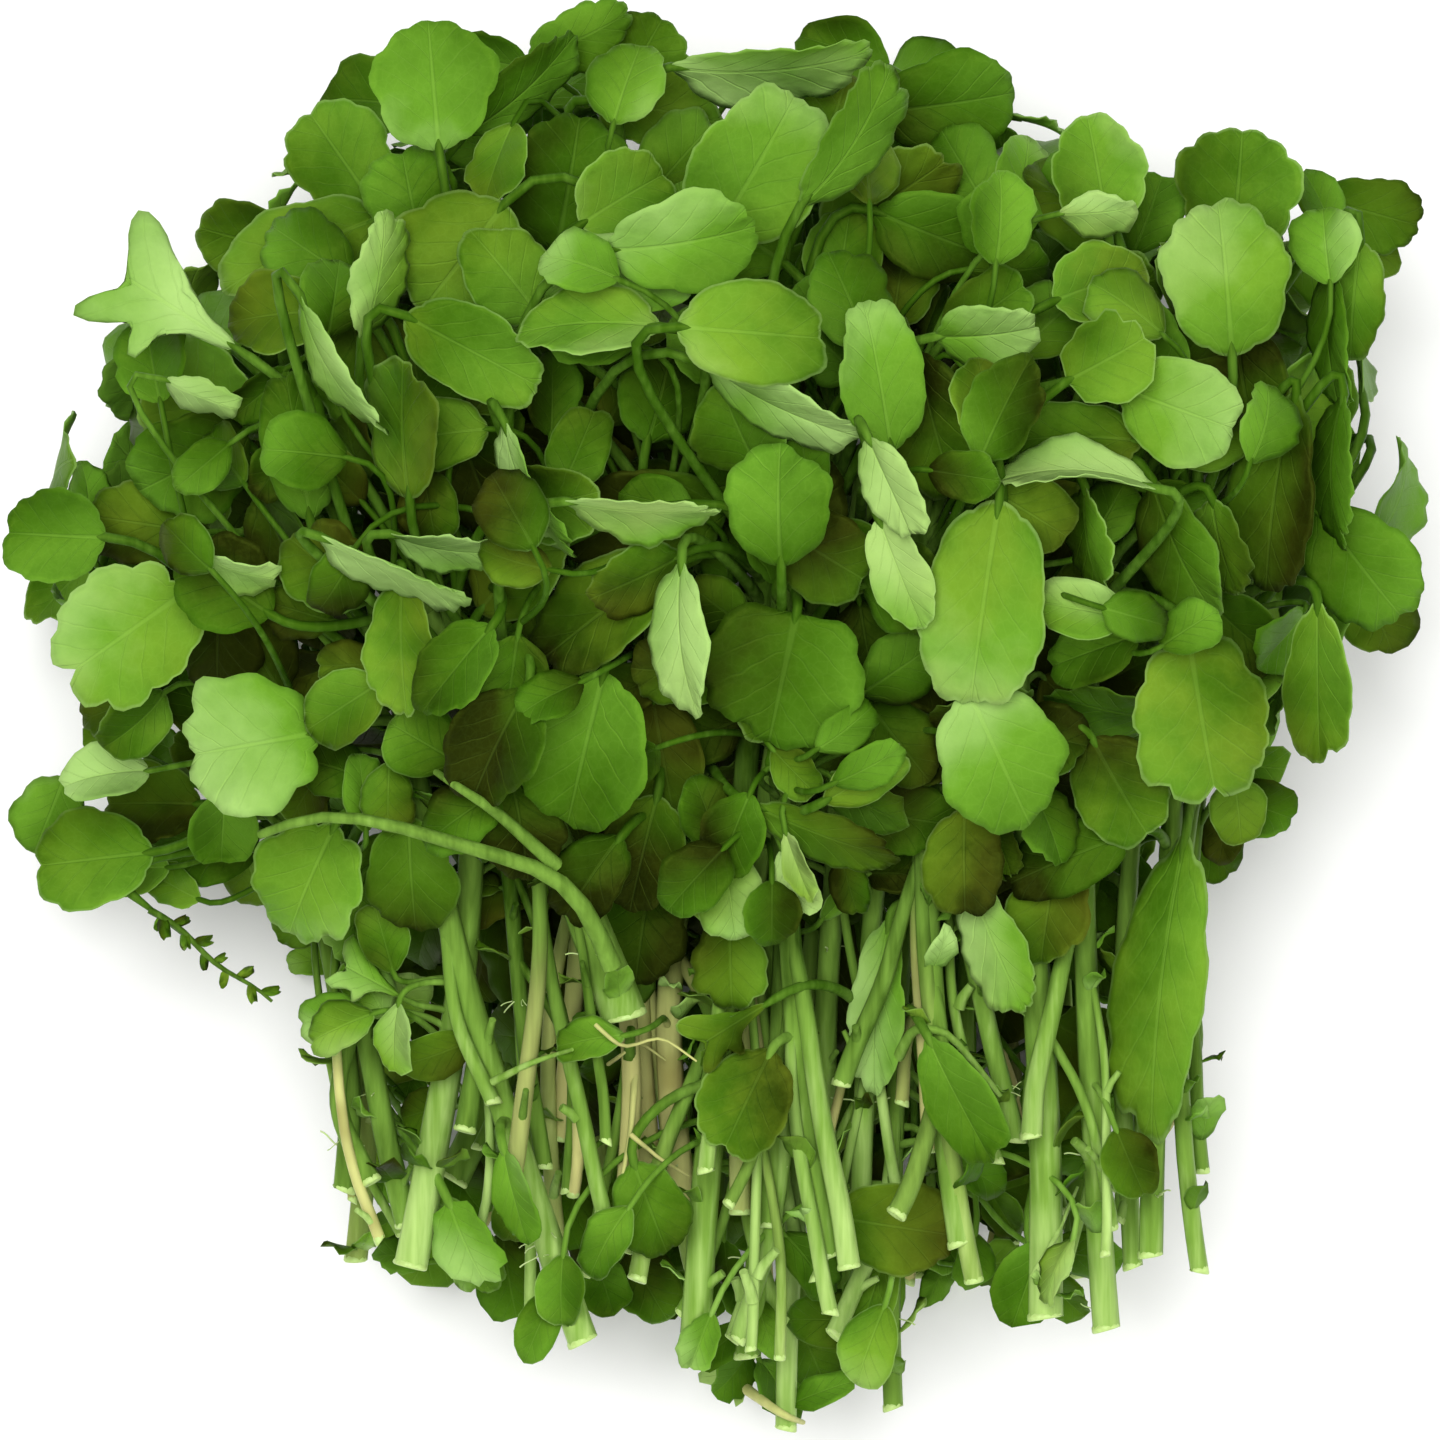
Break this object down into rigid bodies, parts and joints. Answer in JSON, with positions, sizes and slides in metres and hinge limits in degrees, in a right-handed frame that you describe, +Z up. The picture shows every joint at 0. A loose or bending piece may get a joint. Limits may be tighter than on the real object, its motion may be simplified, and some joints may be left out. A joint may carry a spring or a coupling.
{
  "type": "watercress bunch",
  "caption": "Loose bunch of cut watercress lying on its side: hollow-looking green stems laid alongside one another, with scalloped round leaves on thin stalks massed at one end.",
  "frame": {"origin": "bottom centre of the bunch's bounding box, on the surface that it lies on", "axes": "+Z up off the surface; +Y along the stems from the cut ends to the leaves; +X across the bunch, to the right when seen from above with the leaves at the top"},
  "size_m": [0.1836, 0.1852, 0.0926],
  "materials": {
    "leafy_stem_01_green": "soft waxy leaf and stem surface",
    "leafy_stem_02_green": "soft waxy leaf and stem surface",
    "leafy_stem_03_green": "soft waxy leaf and stem surface",
    "leafy_stem_04_green": "soft waxy leaf and stem surface",
    "leafy_stem_05_green": "soft waxy leaf and stem surface",
    "leafy_stem_06_green": "soft waxy leaf and stem surface",
    "leafy_stem_07_green": "soft waxy leaf and stem surface",
    "leafy_stem_08_green": "soft waxy leaf and stem surface",
    "leafy_stem_09_green": "soft waxy leaf and stem surface",
    "leafy_stem_10_green": "soft waxy leaf and stem surface",
    "leafy_stem_11_green": "soft waxy leaf and stem surface",
    "leafy_stem_12_green": "soft waxy leaf and stem surface",
    "leafy_stem_13_green": "soft waxy leaf and stem surface",
    "leafy_stem_14_green": "soft waxy leaf and stem surface",
    "leafy_stem_15_green": "soft waxy leaf and stem surface",
    "leafy_stem_16_green": "soft waxy leaf and stem surface",
    "leafy_stem_17_green": "soft waxy leaf and stem surface",
    "leafy_stem_18_green": "soft waxy leaf and stem surface",
    "leafy_stem_19_green": "soft waxy leaf and stem surface",
    "leafy_stem_20_green": "soft waxy leaf and stem surface",
    "leafy_stem_21_green": "soft waxy leaf and stem surface",
    "leafy_stem_22_green": "soft waxy leaf and stem surface",
    "leafy_stem_23_green": "soft waxy leaf and stem surface",
    "leafy_stem_24_green": "soft waxy leaf and stem surface",
    "leafy_stem_25_green": "soft waxy leaf and stem surface",
    "leafy_stem_26_green": "soft waxy leaf and stem surface",
    "leafy_stem_27_green": "soft waxy leaf and stem surface",
    "leafy_stem_28_green": "soft waxy leaf and stem surface",
    "leafy_stem_29_green": "soft waxy leaf and stem surface",
    "leafy_stem_30_green": "soft waxy leaf and stem surface",
    "leafy_stem_31_green": "soft waxy leaf and stem surface",
    "leafy_stem_32_green": "soft waxy leaf and stem surface",
    "leafy_stem_33_green": "soft waxy leaf and stem surface",
    "leafy_stem_34_green": "soft waxy leaf and stem surface",
    "leafy_stem_35_green": "soft waxy leaf and stem surface",
    "leafy_stem_36_green": "soft waxy leaf and stem surface",
    "leafy_stem_37_green": "soft waxy leaf and stem surface",
    "leafy_stem_38_green": "soft waxy leaf and stem surface",
    "leafy_stem_39_green": "soft waxy leaf and stem surface",
    "leafy_stem_40_green": "soft waxy leaf and stem surface",
    "leafy_stem_41_green": "soft waxy leaf and stem surface",
    "leafy_stem_42_green": "soft waxy leaf and stem surface",
    "leafy_stem_43_green": "soft waxy leaf and stem surface",
    "leafy_stem_44_green": "soft waxy leaf and stem surface",
    "leafy_stem_45_green": "soft waxy leaf and stem surface"
  },
  "bodies": {
    "root": {"leafy_stem_01": "leafy_stem_01_green", "leafy_stem_02": "leafy_stem_02_green", "leafy_stem_03": "leafy_stem_03_green", "leafy_stem_04": "leafy_stem_04_green", "leafy_stem_05": "leafy_stem_05_green", "leafy_stem_06": "leafy_stem_06_green", "leafy_stem_07": "leafy_stem_07_green", "leafy_stem_08": "leafy_stem_08_green", "leafy_stem_09": "leafy_stem_09_green", "leafy_stem_10": "leafy_stem_10_green", "leafy_stem_11": "leafy_stem_11_green", "leafy_stem_12": "leafy_stem_12_green", "leafy_stem_13": "leafy_stem_13_green", "leafy_stem_14": "leafy_stem_14_green", "leafy_stem_15": "leafy_stem_15_green", "leafy_stem_16": "leafy_stem_16_green", "leafy_stem_17": "leafy_stem_17_green", "leafy_stem_18": "leafy_stem_18_green", "leafy_stem_19": "leafy_stem_19_green", "leafy_stem_20": "leafy_stem_20_green", "leafy_stem_21": "leafy_stem_21_green", "leafy_stem_22": "leafy_stem_22_green", "leafy_stem_23": "leafy_stem_23_green", "leafy_stem_24": "leafy_stem_24_green", "leafy_stem_25": "leafy_stem_25_green", "leafy_stem_26": "leafy_stem_26_green", "leafy_stem_27": "leafy_stem_27_green", "leafy_stem_28": "leafy_stem_28_green", "leafy_stem_29": "leafy_stem_29_green", "leafy_stem_30": "leafy_stem_30_green", "leafy_stem_31": "leafy_stem_31_green", "leafy_stem_32": "leafy_stem_32_green", "leafy_stem_33": "leafy_stem_33_green", "leafy_stem_34": "leafy_stem_34_green", "leafy_stem_35": "leafy_stem_35_green", "leafy_stem_36": "leafy_stem_36_green", "leafy_stem_37": "leafy_stem_37_green", "leafy_stem_38": "leafy_stem_38_green", "leafy_stem_39": "leafy_stem_39_green", "leafy_stem_40": "leafy_stem_40_green", "leafy_stem_41": "leafy_stem_41_green", "leafy_stem_42": "leafy_stem_42_green", "leafy_stem_43": "leafy_stem_43_green", "leafy_stem_44": "leafy_stem_44_green", "leafy_stem_45": "leafy_stem_45_green"}
  },
  "joints": []
}
